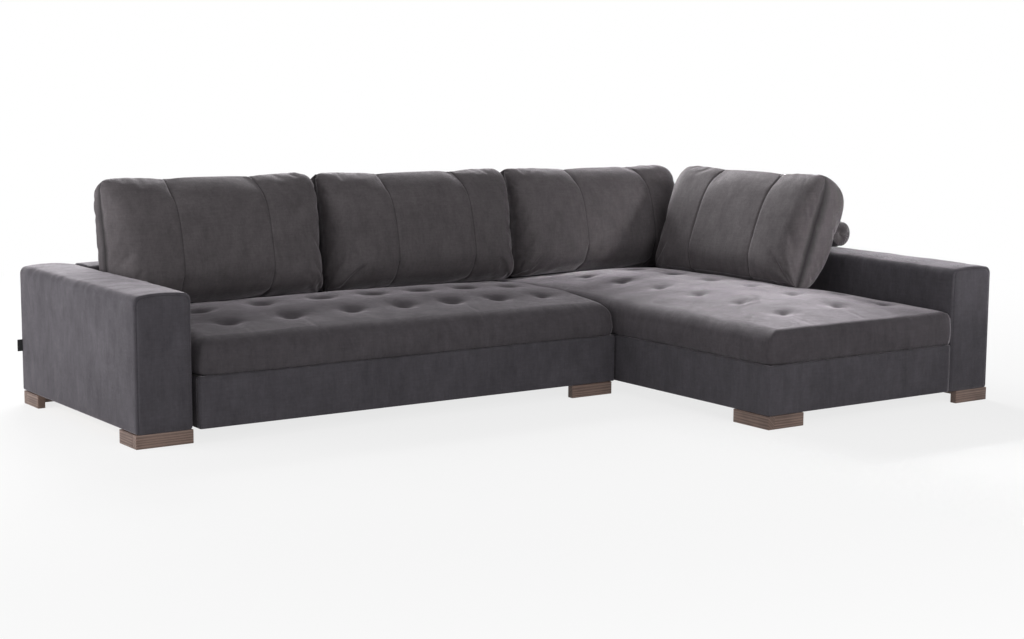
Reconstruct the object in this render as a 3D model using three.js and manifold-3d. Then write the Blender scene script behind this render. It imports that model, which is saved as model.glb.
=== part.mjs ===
// Corner sofa: a bench seat between a short left arm and a long chaise with a right arm.
// Millimetres, +Z up, front towards -Y. Origin: centre of the footprint, on the floor.
import * as THREE from 'three';
import { mergeVertices } from 'three/addons/utils/BufferGeometryUtils.js';
import Module from 'manifold-3d';

const wasm = await Module();
wasm.setup();

// Whole sofa
const overallWidth = 3540;
const armDepth = 1170;
const chaiseReach = 1026;
const armHeight = 590;
const armWidth = 238;
const backDepth = 180;
const chaiseWidth = 1034;
const footHeight = 55;

// Clearances and gaps
const fit = 0.3;
const armSlit = 22;
const moduleGap = 8;
const cutOverrun = 20;

// Padded covers of arms and backs
const padThickness = 20;
const coverCornerRadius = 30;
const coverCrown = 8;
const coverEdgeRadius = 12;
const coverEdgeSteps = 2;
const coverCornerSteps = 5;

// Timber
const boardThickness = 12;
const railThickness = 25;
const postWidth = 60;
const crossRailCount = 3;
const leftArmPostCount = 3;
const rightArmPostCount = 5;
const benchBackPostCount = 4;
const chaiseBackPostCount = 3;
const spacerWidth = 60;
const spacerHeight = 110;

// Base panels, seats and their seam
const plinthThickness = 26;
const plinthProud = 27;
const plinthEdgeRadius = 8;
const plinthEdgeSteps = 4;
const seamHeight = 260;
const seamShadow = 6;
const webThickness = 3;
const webStrapWidth = 60;
const webStrapPitch = 150;
const dustCoverThickness = 2;

// Bench seat
const benchEdgeHeight = 400;
const benchCrown = 60;
const benchCrownEndShare = 0.5;
const benchCrownPowerAcross = 2.5;
const benchCrownPowerAlong = 2;
const benchTuftRowsFromFront = [247, 507, 767];
const benchTuftColumnShares = [0.122, 0.263, 0.407, 0.532, 0.653, 0.77, 0.889];

// Chaise seat
const chaiseEdgeHeight = 402;
const chaiseCrown = 66;
const chaiseCrownEndShare = 0.1;
const chaiseCrownPowerAcross = 2;
const chaiseCrownPowerAlong = 5;
const chaiseTuftColumnShares = [0.27, 0.56, 0.83];
const chaiseFirstTuftRow = 231;
const chaiseTuftPitch = 271;
const chaiseTuftRowCount = 7;

// What both seats share
const seatRoll = 45;
const seatCornerPull = 16;
const seatCornerPower = 8;
const seatEdgePower = 12;
const seatSideShares = [[0.86, 0.26], [0.5, 0], [0.05, 0.12], [0, 0.28]];
const tuftDepth = 15;
const tuftReach = 42;
const pleatDepth = 4;

// Loose back cushions
const backCushionCount = 3;
const sideCushionWidth = 1016;
const cushionHeight = 563;
const backCushionCrowns = { front: 160, rear: 170 };
const sideCushionCrowns = { front: 125, rear: 225 };
const backCushionSettling = [0, 11, 33];
const sideCushionSettling = 8;
const backCushionLean = THREE.MathUtils.degToRad(8);
const sideCushionLean = THREE.MathUtils.degToRad(18);
const cushionSink = 26;
const cushionClearance = 120;
const cushionSettlingRounds = 3;
const cushionCornerPull = 8;
const cushionDrawIn = 8;
const cushionSeamPull = 12;
const cushionCornerPower = 8;
const cushionPowerAcross = 5;
const cushionFrontPowers = [5, 2.4];
const cushionRearPowers = [2, 5];
const cushionFrontFullnessShare = 0.15;
const cushionColumnCount = 14;
const cushionRowCount = 9;
const channelHalfWidth = 13;
const channelDepth = 9;
const channelEndPower = 6;
const backChannelShares = [[0.29, 0.71], [0.32, 0.73], [0.36, 0.77]];
const sideChannelShares = [0.29, 0.71];
const cushionGap = 4;
const cornerGap = 15;

// Bolster
const bolsterLength = 600;
const bolsterDiameter = 140;
const bolsterEndRise = 16;
const bolsterEndShares = [[0, 0.25], [0.5, 0], [0.86, 0.45], [1, 1.9]];
const bolsterFromFront = 853;
const bolsterFacets = 16;

// Feet: planks joined in an L
const plankThickness = 32;
const plankLong = 215;
const plankShort = 190;
const plankArm = 157;
const footInset = 16;

// Fasteners
const boltRadius = 4;
const boltHeadRadius = 9;
const boltHeadHeight = 6;
const boltHoleRadius = 4.6;
const boltHeight = 110;
const boltFromRailEnd = 150;
const boltSides = 12;
const linkPlateLength = 130;
const linkPlateWidth = 40;
const linkPlateThickness = 3;
const linkHoleRadius = 3;
const linkHoleFromEnd = 18;
const linkPlateFromEnds = 330;
const linkHoleSteps = 6;

// Blank sewn tab on the left arm
const tabWidth = 20;
const tabHeight = 50;
const tabThickness = 2;
const tabFromRear = 14;
const tabFromTop = 315;

// Places worked out from the sizes above
const left = -overallWidth / 2;
const right = overallWidth / 2;
const front = -(armDepth + chaiseReach) / 2;
const rear = (armDepth + chaiseReach) / 2;
const armFront = rear - armDepth;
const leftArmInner = left + armWidth;
const rightArmInner = right - armWidth;
const backFront = rear - backDepth;
const chaiseLeft = rightArmInner - chaiseWidth;
const benchLeft = leftArmInner + armSlit;
const benchRight = chaiseLeft - moduleGap;
const benchFront = armFront - plinthProud;
const underside = footHeight + fit;
const coverHeight = armHeight - underside;
const seatBottom = seamHeight + fit;
const webTop = seamHeight;
const railTop = webTop - webThickness - fit;
const plinthTop = seamHeight - seamShadow;
const railBottom = underside + dustCoverThickness + fit;
const moduleSeam = (benchRight + chaiseLeft) / 2;
const cushionPitch = (rightArmInner - leftArmInner - cushionGap) / backCushionCount;
const backCushionWidth = cushionPitch - cushionGap;

function finish(color, roughness, metalness = 0) {
  return () => new THREE.MeshStandardMaterial({ color, roughness, metalness });
}
const velvet = finish(0x544e52, 0.9);
const walnut = finish(0x5b4034, 0.5);
const spruce = finish(0xc9ab7c, 0.75);
const plywood = finish(0xd1b88c, 0.7);
const liningCloth = finish(0x242326, 0.95);
const webbing = finish(0x8a8378, 0.9);
const steel = finish(0xa9abad, 0.35, 1);

const sofa = new THREE.Group();

function place(name, geometry, material, x = 0, y = 0, z = 0) {
  const mesh = new THREE.Mesh(geometry, material());
  mesh.name = name;
  mesh.position.set(x, y, z);
  sofa.add(mesh);
  return mesh;
}

// Closed mesh to solid and back, for cuts and joins
function toSolid(geometry) {
  const bare = geometry.clone();
  bare.deleteAttribute('normal');
  bare.deleteAttribute('uv');
  const merged = mergeVertices(bare);
  return new wasm.Manifold(new wasm.Mesh({
    numProp: 3,
    vertProperties: new Float32Array(merged.attributes.position.array),
    triVerts: new Uint32Array(merged.index.array),
  }));
}

function toGeometry(solid) {
  const mesh = solid.getMesh();
  const geometry = new THREE.BufferGeometry();
  geometry.setAttribute('position', new THREE.BufferAttribute(mesh.vertProperties, 3));
  geometry.setIndex(new THREE.BufferAttribute(mesh.triVerts, 1));
  return geometry;
}

// A box given by its two ends along each axis
function span(x0, x1, y0, y1, z0, z1) {
  const box = new THREE.BoxGeometry(x1 - x0, y1 - y0, z1 - z0);
  return box.translate((x0 + x1) / 2, (y0 + y1) / 2, (z0 + z1) / 2);
}

function placeBoard(name, material, x0, x1, y0, y1, z0, z1) {
  const board = new THREE.BoxGeometry(x1 - x0, y1 - y0, z1 - z0);
  return place(name, board, material, (x0 + x1) / 2, (y0 + y1) / 2, (z0 + z1) / 2);
}

function joinAll(geometries) {
  return geometries.map(toSolid).reduce((whole, piece) => whole.add(piece));
}

// A hole along X through a piece that stands at the middle of its own box
function drillAlongX(mesh, y, z) {
  mesh.geometry.computeBoundingBox();
  const reach = mesh.geometry.boundingBox.getSize(new THREE.Vector3()).x + cutOverrun;
  const drill = new THREE.CylinderGeometry(boltHoleRadius, boltHoleRadius, reach, boltSides);
  drill.rotateZ(Math.PI / 2).translate(0, y - mesh.position.y, z - mesh.position.z);
  mesh.geometry = toGeometry(toSolid(mesh.geometry).subtract(toSolid(drill)));
}

// Padded cover of an arm or a back: width across, length along Y, open underneath.
// Its top corners are round and the top rises a little in the middle.
function coverGeometry(width, length) {
  const half = width / 2;
  const shoulder = coverHeight - coverCrown;
  const cornerX = half - coverCornerRadius;
  const cornerZ = shoulder - coverCornerRadius;
  const outline = new THREE.Shape();
  outline.moveTo(-half, 0);
  outline.lineTo(half, 0);
  outline.lineTo(half, cornerZ);
  outline.absarc(cornerX, cornerZ, coverCornerRadius, 0, Math.PI / 2);
  outline.quadraticCurveTo(0, coverHeight + coverCrown, -cornerX, shoulder);
  outline.absarc(-cornerX, cornerZ, coverCornerRadius, Math.PI / 2, Math.PI);
  const skin = new THREE.ExtrudeGeometry(outline, {
    depth: length - 2 * coverEdgeRadius,
    bevelThickness: coverEdgeRadius,
    bevelSize: coverEdgeRadius,
    bevelOffset: -coverEdgeRadius,
    bevelSegments: coverEdgeSteps,
    curveSegments: coverCornerSteps,
  });
  skin.translate(0, 0, coverEdgeRadius - length / 2).rotateX(Math.PI / 2);
  const hollowHalf = half - padThickness;
  const hollowEnd = length / 2 - padThickness;
  const hollowTop = shoulder - padThickness;
  const hollow = span(-hollowHalf, hollowHalf, -hollowEnd, hollowEnd, -cutOverrun, hollowTop);
  return toGeometry(toSolid(skin).subtract(toSolid(hollow)));
}

// Timber frame inside a cover: two ladders of posts and rails, joined by spreaders
function ladderFrameGeometry(width, length, height, postCount) {
  const half = width / 2;
  const end = length / 2;
  const postPitch = (length - postWidth) / (postCount - 1);
  const members = [];
  for (const side of [-half, half - railThickness]) {
    members.push(span(side, side + railThickness, -end, end, 0, postWidth));
    members.push(span(side, side + railThickness, -end, end, height - postWidth, height));
    for (let post = 0; post < postCount; post += 1) {
      const start = post * postPitch - end;
      members.push(span(side, side + railThickness, start, start + postWidth, 0, height));
    }
  }
  for (let post = 0; post < postCount; post += 1) {
    const start = post * postPitch - end;
    members.push(span(-half, half, start, start + railThickness, 0, postWidth));
    members.push(span(-half, half, start, start + railThickness, height - postWidth, height));
  }
  return toGeometry(joinAll(members));
}

// A cover with the frame and the bottom board inside it. Turned, it runs along X.
function paddedBox(name, x0, x1, y0, y1, postCount, runsAlongX) {
  const centreX = (x0 + x1) / 2;
  const centreY = (y0 + y1) / 2;
  const width = runsAlongX ? y1 - y0 : x1 - x0;
  const length = runsAlongX ? x1 - x0 : y1 - y0;
  const innerWidth = width - 2 * (padThickness + fit);
  const innerLength = length - 2 * (padThickness + fit);
  const frameBottom = underside + boardThickness + fit;
  const frameTop = armHeight - coverCrown - padThickness - fit;
  const board = new THREE.BoxGeometry(innerWidth, innerLength, boardThickness);
  const frame = ladderFrameGeometry(innerWidth, innerLength, frameTop - frameBottom, postCount);
  const pieces = [
    place(`${name}_cover`, coverGeometry(width, length), velvet, centreX, centreY, underside),
    place(`${name}_frame`, frame, spruce, centreX, centreY, frameBottom),
    place(`${name}_bottom_board`, board, plywood, centreX, centreY, underside + boardThickness / 2),
  ];
  if (runsAlongX) {
    pieces.forEach((piece) => piece.geometry.rotateZ(-Math.PI / 2));
  }
  return pieces;
}

// Rails and cross rails that carry a seat
function baseFrame(name, x0, x1, y0, y1) {
  const rails = [];
  const rail = (part, ...ends) => {
    rails.push(placeBoard(`${name}_${part}`, spruce, ...ends, railBottom, railTop));
  };
  rail('front_rail', x0, x1, y0, y0 + railThickness);
  rail('rear_rail', x0, x1, y1 - railThickness, y1);
  const innerFront = y0 + railThickness + fit;
  const innerRear = y1 - railThickness - fit;
  rail('left_rail', x0, x0 + railThickness, innerFront, innerRear);
  rail('right_rail', x1 - railThickness, x1, innerFront, innerRear);
  return { innerFront, innerRear, rail };
}

function crossRailsAlongY(name, frame, x0, x1) {
  const pitch = (x1 - x0) / (crossRailCount + 1);
  for (let index = 1; index <= crossRailCount; index += 1) {
    const start = x0 + index * pitch - railThickness / 2;
    frame.rail(`cross_rail_${index}`, start, start + railThickness, frame.innerFront, frame.innerRear);
  }
}

function crossRailsAlongX(name, frame, x0, x1) {
  const pitch = (frame.innerRear - frame.innerFront) / (crossRailCount + 1);
  const start = x0 + railThickness + fit;
  const end = x1 - railThickness - fit;
  for (let index = 1; index <= crossRailCount; index += 1) {
    const near = frame.innerFront + index * pitch - railThickness / 2;
    frame.rail(`cross_rail_${index}`, start, end, near, near + railThickness);
  }
}

// Elastic straps across a base, joined by a tack strip along each long edge
function webbingGeometry(length, width) {
  const end = length / 2;
  const side = width / 2;
  const strapCount = Math.round((length - webStrapWidth) / webStrapPitch) + 1;
  const pitch = (length - webStrapWidth) / (strapCount - 1);
  const strips = [
    span(-end, end, -side, railThickness - side, 0, webThickness),
    span(-end, end, side - railThickness, side, 0, webThickness),
  ];
  for (let index = 0; index < strapCount; index += 1) {
    const start = index * pitch - end;
    strips.push(span(start, start + webStrapWidth, -side, side, 0, webThickness));
  }
  return toGeometry(joinAll(strips));
}

// Upholstered panel in front of a rail, with eased edges. Its ends can be mitred.
function plinthGeometry(length, mitreStart, mitreEnd) {
  const half = plinthThickness / 2;
  const end = length / 2;
  const radius = plinthEdgeRadius;
  const outline = new THREE.Shape();
  outline.moveTo(-end + (mitreStart ? plinthThickness : 0), half);
  outline.lineTo(-end, mitreStart ? -half : radius - half);
  if (!mitreStart) {
    outline.quadraticCurveTo(-end, -half, radius - end, -half);
  }
  outline.lineTo(end - (mitreEnd ? 0 : radius), -half);
  if (!mitreEnd) {
    outline.quadraticCurveTo(end, -half, end, radius - half);
  }
  outline.lineTo(end - (mitreEnd ? plinthThickness : 0), half);
  return new THREE.ExtrudeGeometry(outline, {
    depth: plinthTop - underside,
    bevelEnabled: false,
    curveSegments: plinthEdgeSteps,
  });
}

// Sorted grid lines from -1 to 1, with the given places among them
function gridLines(places, spread, extra) {
  const lines = [-1, 1, ...extra];
  for (const where of places) {
    lines.push(where - spread, where, where + spread);
  }
  return [...new Set(lines.filter((line) => Math.abs(line) <= 1))].sort((a, b) => a - b);
}

// Closed surface through a grid of points on top, rings round its side and a flat underside
function closeGrid(columns, rows, pointAt, ringShares, ringAt) {
  const positions = [];
  const triangles = [];
  const index = (i, j) => j * columns.length + i;
  rows.forEach((t) => columns.forEach((s) => positions.push(...pointAt(s, t))));
  for (let j = 0; j < rows.length - 1; j += 1) {
    for (let i = 0; i < columns.length - 1; i += 1) {
      triangles.push(index(i, j), index(i + 1, j), index(i + 1, j + 1));
      triangles.push(index(i, j), index(i + 1, j + 1), index(i, j + 1));
    }
  }
  const border = [];
  columns.forEach((s, i) => border.push([s, rows[0], index(i, 0)]));
  rows.slice(1).forEach((t, j) => border.push([1, t, index(columns.length - 1, j + 1)]));
  columns.slice(0, -1).reverse().forEach((s, i) => {
    border.push([s, 1, index(columns.length - 2 - i, rows.length - 1)]);
  });
  rows.slice(1, -1).reverse().forEach((t, j) => border.push([-1, t, index(0, rows.length - 2 - j)]));
  let above = border.map((entry) => entry[2]);
  for (const share of ringShares) {
    const ring = border.map(([s, t]) => positions.push(...ringAt(s, t, share)) / 3 - 1);
    ring.forEach((low, k) => {
      const next = (k + 1) % ring.length;
      triangles.push(above[k], low, ring[next]);
      triangles.push(above[k], ring[next], above[next]);
    });
    above = ring;
  }
  const last = ringShares[ringShares.length - 1];
  const [, , floorZ] = ringAt(0, 1, last);
  const centre = positions.push(0, 0, floorZ) / 3 - 1;
  above.forEach((low, k) => triangles.push(low, centre, above[(k + 1) % above.length]));
  const geometry = new THREE.BufferGeometry();
  geometry.setAttribute('position', new THREE.Float32BufferAttribute(positions, 3));
  geometry.setIndex(triangles);
  return geometry;
}

// Tufted seat block: crowned top, rolled edges, sides that draw in to the seam below.
// Each side share says how far the side stands in at that share of its height.
function seatGeometry(seat) {
  const { width, depth, edge, crown, endShare, powerAcross, powerAlong } = seat;
  const tufts = seat.columns.flatMap((x) => seat.rows.map((y) => [x, y]));
  const roundedAt = (s, t, inset) => [
    s * (width / 2 - inset) * (1 - (seatCornerPull / width) * t ** seatCornerPower),
    t * (depth / 2 - inset) * (1 - (seatCornerPull / depth) * s ** seatCornerPower),
  ];
  const crownAt = (s, t) => {
    const across = endShare + (1 - endShare) * (1 - Math.abs(s) ** powerAcross);
    return edge - seatBottom + crown * across * (1 - Math.abs(t) ** powerAlong);
  };
  const tuftAt = (x, y) => tufts.reduce((sum, [tx, ty]) => {
    return sum + tuftDepth * Math.exp(-((x - tx) ** 2 + (y - ty) ** 2) / tuftReach ** 2);
  }, 0);
  const pleatAt = (x, y) => {
    const nearest = Math.min(...seat.columns.map((column) => Math.abs(x - column)));
    return y < seat.rows[0] ? pleatDepth * Math.max(0, 1 - nearest / tuftReach) : 0;
  };
  const pointAt = (s, t) => {
    const [x, y] = roundedAt(s, t, seatRoll);
    const fade = 1 - Math.max(Math.abs(s), Math.abs(t)) ** seatEdgePower;
    return [x, y, crownAt(s, t) - tuftAt(x, y) - fade * pleatAt(x, y)];
  };
  const ringAt = (s, t, [heightShare, insetShare]) => {
    const [x, y] = roundedAt(s, t, insetShare * seatRoll);
    return [x, y, crownAt(s, t) * heightShare];
  };
  const halfX = width / 2 - seatRoll;
  const halfY = depth / 2 - seatRoll;
  const linesFor = (tuftPlaces, half) => {
    const shares = [-1, ...tuftPlaces.map((place) => place / half), 1];
    const between = shares.slice(1).map((share, i) => (share + shares[i]) / 2);
    return gridLines(shares.slice(1, -1), tuftReach / half, between);
  };
  const columnLines = linesFor(seat.columns, halfX);
  const rowLines = linesFor(seat.rows, halfY);
  return closeGrid(columnLines, rowLines, pointAt, seatSideShares, ringAt);
}

// Moves a piece along a direction, from a clearance before its place, in ever finer steps until
// it all but touches one of the other pieces
function settle(piece, direction, clearance, others) {
  const solidOf = (mesh) => {
    mesh.updateMatrixWorld();
    return toSolid(mesh.geometry.clone().applyMatrix4(mesh.matrixWorld));
  };
  const solid = solidOf(piece);
  const obstacles = others.map(solidOf);
  const isClear = (travel) => {
    const moved = solid.translate(direction.clone().multiplyScalar(travel).toArray());
    return obstacles.every((obstacle) => moved.intersect(obstacle).isEmpty());
  };
  let travel = -clearance;
  for (let step = cushionSink; step > fit / 2; step /= 2) {
    while (isClear(travel + step)) {
      travel += step;
    }
  }
  piece.position.addScaledVector(direction, travel - fit);
}

// Two panels that meet in a seam round the edge, plump in the middle, with two channels
// sewn down the front. The front is fuller below and the rear above, as each pair of powers,
// for the lower and the upper half, says. Local frame: X along the width, -Y the front, Z up.
function backCushionGeometry(width, height, channelShares, lean, crowns) {
  const halfWidth = width / 2;
  const halfHeight = height / 2;
  const channels = channelShares.map((share) => 2 * share - 1);
  const spread = channelHalfWidth / halfWidth;
  const crowded = (count) => [...Array(count + 1).keys()].map((k) => -Math.cos(Math.PI * k / count));
  const clear = crowded(cushionColumnCount).map((line) => {
    return Math.sign(line) * Math.abs(line) ** (2 / cushionPowerAcross);
  }).filter((line) => {
    return channels.every((channel) => Math.abs(line - channel) > 2 * spread);
  });
  const columns = gridLines(channels, spread, clear);
  const rows = crowded(cushionRowCount);
  const drawnIn = (half, u, v) => {
    const corner = (cushionCornerPull / half) * v ** cushionCornerPower;
    return u * (half - cushionDrawIn * (1 - v * v)) * (1 - corner);
  };
  const plumpAt = (s, t, crown, [lowerPower, upperPower]) => {
    const across = Math.max(0, 1 - Math.abs(s) ** cushionPowerAcross) ** (1 / cushionPowerAcross);
    const up = Math.sqrt(Math.max(0, 1 - Math.abs(t) ** (t < 0 ? lowerPower : upperPower)));
    return crown * across * up;
  };
  const grooveAt = (s, t) => {
    const nearest = Math.min(...channels.map((channel) => Math.abs(s - channel)));
    const fade = Math.sqrt(Math.max(0, 1 - t ** channelEndPower));
    return channelDepth * Math.max(0, 1 - nearest / spread) * fade;
  };
  const positions = [];
  const triangles = [];
  const onSeam = (i, j) => i === 0 || j === 0 || i === columns.length - 1 || j === rows.length - 1;
  const panels = [1, -1].map((side) => rows.map((t, j) => columns.map((s, i) => {
    if (side < 0 && onSeam(i, j)) {
      return -1;
    }
    const frontCrown = crowns.front * (1 - cushionFrontFullnessShare * t);
    const y = side > 0
      ? grooveAt(s, t) - plumpAt(s, t, frontCrown, cushionFrontPowers)
      : plumpAt(s, t, crowns.rear, cushionRearPowers);
    const x = drawnIn(halfWidth, s, t) - (Math.abs(s) < 1 ? 0 : s * cushionSeamPull);
    const z = halfHeight + drawnIn(halfHeight, t, s);
    return positions.push(x, onSeam(i, j) ? 0 : y, z) / 3 - 1;
  })));
  const indexAt = (panel, i, j) => (panel[j][i] < 0 ? panels[0][j][i] : panel[j][i]);
  panels.forEach((panel, side) => {
    for (let j = 0; j < rows.length - 1; j += 1) {
      for (let i = 0; i < columns.length - 1; i += 1) {
        const [a, b] = [indexAt(panel, i, j), indexAt(panel, i + 1, j)];
        const [c, d] = [indexAt(panel, i + 1, j + 1), indexAt(panel, i, j + 1)];
        triangles.push(...(side === 0 ? [a, b, c, a, c, d] : [a, c, b, a, d, c]));
      }
    }
  });
  const geometry = new THREE.BufferGeometry();
  geometry.setAttribute('position', new THREE.Float32BufferAttribute(positions, 3));
  geometry.setIndex(triangles);
  return flattenBelow(geometry.rotateX(-lean));
}

// Presses a leaning cushion flat where it rests on the seat
function flattenBelow(geometry) {
  const points = geometry.attributes.position;
  geometry.computeBoundingBox();
  const below = geometry.boundingBox.min.z + cushionSink;
  for (let i = 0; i < points.count; i += 1) {
    points.setZ(i, Math.max(points.getZ(i), below));
  }
  return geometry.translate(0, 0, -below);
}

// Round bolster with gathered ends. Its axis runs along Y. Each end share gives the distance
// from the axis, in radii, and how far the end stands in there, in end rises.
function bolsterGeometry() {
  const radius = bolsterDiameter / 2;
  const end = bolsterLength / 2;
  const point = ([outShare, inShare], side) => {
    return new THREE.Vector2(outShare * radius, side * (end - inShare * bolsterEndRise));
  };
  const nearEnd = bolsterEndShares.map((shares) => point(shares, -1));
  const farEnd = [...bolsterEndShares].reverse().map((shares) => point(shares, 1));
  return new THREE.LatheGeometry([...nearEnd, ...farEnd], bolsterFacets);
}

// Two planks that meet in an L. The corner is at the given place; reach signs say which way.
function placeFoot(name, cornerX, cornerY, reachX, reachY) {
  const inX = Math.sign(reachX) * plankThickness;
  const inY = Math.sign(reachY) * plankThickness;
  const outline = new THREE.Shape();
  outline.moveTo(0, 0);
  outline.lineTo(reachX, 0);
  outline.lineTo(reachX, inY);
  outline.lineTo(inX, inY);
  outline.lineTo(inX, reachY);
  outline.lineTo(0, reachY);
  const foot = new THREE.ExtrudeGeometry(outline, { depth: footHeight, bevelEnabled: false });
  return place(name, foot, walnut, cornerX, cornerY);
}

// Hexagon-headed bolt along X, its head at the given end
function placeBolt(name, headX, tipX, y) {
  const length = Math.abs(tipX - headX);
  const shank = new THREE.CylinderGeometry(boltRadius, boltRadius, length, boltSides);
  const head = new THREE.CylinderGeometry(boltHeadRadius, boltHeadRadius, boltHeadHeight, boltSides / 2);
  head.translate(0, (length + boltHeadHeight) / 2 - fit, 0);
  const bolt = toGeometry(toSolid(shank).add(toSolid(head)));
  bolt.rotateZ(headX < tipX ? Math.PI / 2 : -Math.PI / 2);
  return place(name, bolt, steel, (headX + tipX) / 2, y, boltHeight);
}

// Arms and backs
const [leftArmCover, leftArmFrame] = paddedBox(
  'left_arm', left, leftArmInner, armFront, rear, leftArmPostCount, false);
const [rightArmCover, rightArmFrame] = paddedBox(
  'right_arm', rightArmInner, right, front, rear, rightArmPostCount, false);
paddedBox(
  'bench_back', leftArmInner + fit, moduleSeam - fit, backFront, rear, benchBackPostCount, true);
paddedBox(
  'chaise_back', moduleSeam + fit, rightArmInner - fit, backFront, rear, chaiseBackPostCount, true);

// Bench base: rails, front panel, webbing and dust cover
const benchDeckFront = benchFront + plinthThickness + fit;
const deckRear = backFront - fit;
const benchFrame = baseFrame('bench', benchLeft, benchRight, benchDeckFront, deckRear);
const benchLeftRail = sofa.getObjectByName('bench_left_rail');
crossRailsAlongY('bench', benchFrame, benchLeft, benchRight);
place('bench_plinth', plinthGeometry(benchRight - benchLeft, false, false), velvet,
  (benchLeft + benchRight) / 2, benchFront + plinthThickness / 2, underside);
place('bench_webbing', webbingGeometry(benchRight - benchLeft, deckRear - benchDeckFront), webbing,
  (benchLeft + benchRight) / 2, (benchDeckFront + deckRear) / 2, webTop - webThickness);
placeBoard('bench_dust_cover', liningCloth, benchLeft, benchRight, benchDeckFront, deckRear,
  underside, underside + dustCoverThickness);

// Chaise base: the same, with panels on the front and on the left side
const chaiseRight = rightArmInner - fit;
const chaiseDeckFront = front + plinthThickness + fit;
const chaiseDeckLeft = chaiseLeft + plinthThickness + fit;
const chaiseFrame = baseFrame('chaise', chaiseDeckLeft, chaiseRight, chaiseDeckFront, deckRear);
const chaiseRightRail = sofa.getObjectByName('chaise_right_rail');
crossRailsAlongX('chaise', chaiseFrame, chaiseDeckLeft, chaiseRight);
const mitreGap = fit * Math.SQRT2;
place('chaise_front_plinth', plinthGeometry(chaiseRight - chaiseLeft - mitreGap, true, false), velvet,
  (chaiseLeft + mitreGap + chaiseRight) / 2, front + plinthThickness / 2, underside);
const sidePlinth = place('chaise_side_plinth', plinthGeometry(deckRear - front, false, true), velvet,
  chaiseLeft + plinthThickness / 2, (front + deckRear) / 2, underside);
sidePlinth.rotation.z = -Math.PI / 2;
const chaiseWebbing = place('chaise_webbing',
  webbingGeometry(deckRear - chaiseDeckFront, chaiseRight - chaiseDeckLeft), webbing,
  (chaiseDeckLeft + chaiseRight) / 2, (chaiseDeckFront + deckRear) / 2, webTop - webThickness);
chaiseWebbing.rotation.z = Math.PI / 2;
placeBoard('chaise_dust_cover', liningCloth, chaiseDeckLeft, chaiseRight, chaiseDeckFront, deckRear,
  underside, underside + dustCoverThickness);

// Seats
const benchSeatWidth = benchRight - benchLeft;
const benchSeatDepth = deckRear - benchFront;
const benchSeat = place('bench_seat', seatGeometry({
  width: benchSeatWidth,
  depth: benchSeatDepth,
  edge: benchEdgeHeight,
  crown: benchCrown,
  endShare: benchCrownEndShare,
  powerAcross: benchCrownPowerAcross,
  powerAlong: benchCrownPowerAlong,
  columns: benchTuftColumnShares.map((share) => (share - 0.5) * benchSeatWidth),
  rows: benchTuftRowsFromFront.map((row) => row - benchSeatDepth / 2),
}), velvet, (benchLeft + benchRight) / 2, (benchFront + deckRear) / 2, seatBottom);

const chaiseSeatWidth = chaiseRight - chaiseLeft;
const chaiseSeatDepth = deckRear - front;
const chaiseTuftRows = [...Array(chaiseTuftRowCount).keys()].map((row) => {
  return chaiseFirstTuftRow + row * chaiseTuftPitch - chaiseSeatDepth / 2;
});
const chaiseSeat = place('chaise_seat', seatGeometry({
  width: chaiseSeatWidth,
  depth: chaiseSeatDepth,
  edge: chaiseEdgeHeight,
  crown: chaiseCrown,
  endShare: chaiseCrownEndShare,
  powerAcross: chaiseCrownPowerAcross,
  powerAlong: chaiseCrownPowerAlong,
  columns: chaiseTuftColumnShares.map((share) => (share - 0.5) * chaiseSeatWidth),
  rows: chaiseTuftRows,
}), velvet, (chaiseLeft + chaiseRight) / 2, (front + deckRear) / 2, seatBottom);

// Loose back cushions: three along the back, one along the right arm. Each stands on the seats
// and leans back on the top edge behind it.
const up = new THREE.Vector3(0, 0, 1);
const down = up.clone().negate();

function placeCushion(name, geometry, x, y, turn, behind) {
  const cushion = place(name, geometry, velvet, x, y, seatBottom);
  cushion.rotation.z = turn;
  const backwards = new THREE.Vector3(0, 1, 0).applyAxisAngle(up, turn);
  for (let round = 0; round < cushionSettlingRounds; round += 1) {
    settle(cushion, down, armHeight, [benchSeat, chaiseSeat]);
    settle(cushion, backwards, cushionClearance, behind);
  }
  settle(cushion, down, armHeight, [benchSeat, chaiseSeat]);
}

const backs = ['bench_back_cover', 'chaise_back_cover'].map((name) => sofa.getObjectByName(name));
const rightArm = sofa.getObjectByName('right_arm_cover');
backChannelShares.forEach((shares, index) => {
  const x = leftArmInner + cushionGap + backCushionWidth / 2 + index * cushionPitch;
  const height = cushionHeight - backCushionSettling[index];
  const geometry = backCushionGeometry(
    backCushionWidth, height, shares, backCushionLean, backCushionCrowns);
  placeCushion(
    `back_cushion_${index + 1}`, geometry, x, deckRear - backCushionCrowns.rear, 0, backs);
});
const sideCushionEnd = deckRear - backCushionCrowns.rear - backCushionCrowns.front - cornerGap;
placeCushion(
  'side_cushion',
  backCushionGeometry(
    sideCushionWidth, cushionHeight - sideCushionSettling, sideChannelShares, sideCushionLean,
    sideCushionCrowns),
  chaiseRight - sideCushionCrowns.rear, sideCushionEnd - sideCushionWidth / 2, -Math.PI / 2,
  [rightArm]);

// Bolster on the right arm, behind the side cushion
const bolster = place('bolster', bolsterGeometry(), velvet, right - bolsterDiameter / 2,
  front + bolsterFromFront + bolsterLength / 2, armHeight + bolsterDiameter);
settle(bolster, down, 0, [rightArm]);

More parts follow.
